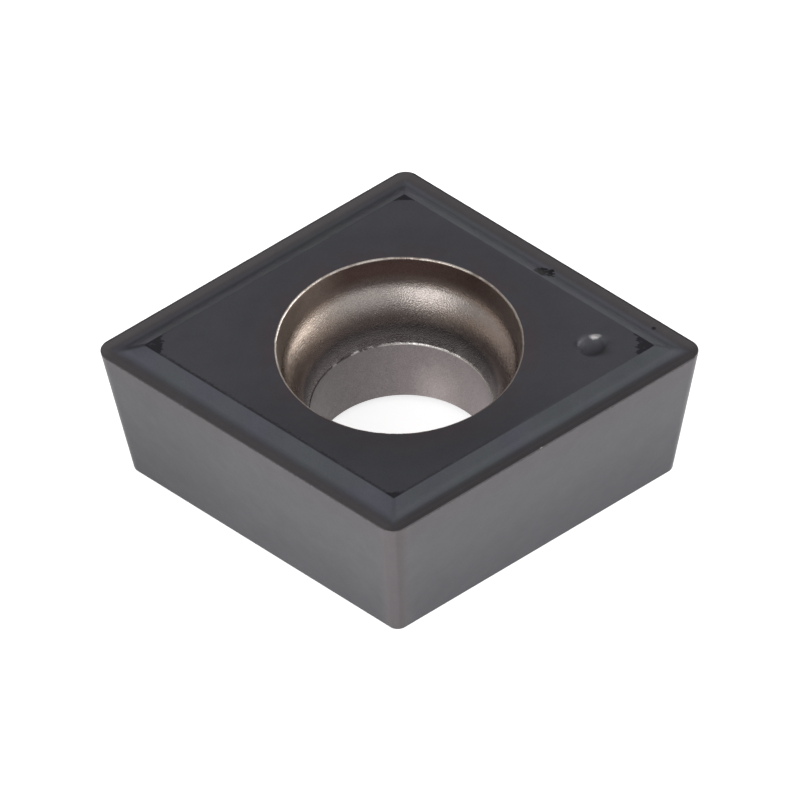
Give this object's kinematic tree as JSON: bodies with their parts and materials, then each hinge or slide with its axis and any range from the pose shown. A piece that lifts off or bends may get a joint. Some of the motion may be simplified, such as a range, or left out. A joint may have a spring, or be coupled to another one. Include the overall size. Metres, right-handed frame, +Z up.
{
  "type": "carbide insert",
  "caption": "Rhombic turning insert in coated carbide, with relieved flanks, a moulded chip groove round the rim and a countersunk screw hole.",
  "frame": {"origin": "axis of the screw hole where it leaves the flat seat face", "axes": "+X through one of the 80 degree noses (the one with the index dimple), +Y towards a 100 degree corner, +Z up the screw hole from the seat to the cutting edges"},
  "size_m": [0.0144, 0.0122, 0.0041],
  "materials": {
    "coated_carbide": "fine satin dark grey coating, bronze in the countersink"
  },
  "bodies": {
    "root": {"insert": "coated_carbide"}
  },
  "joints": []
}
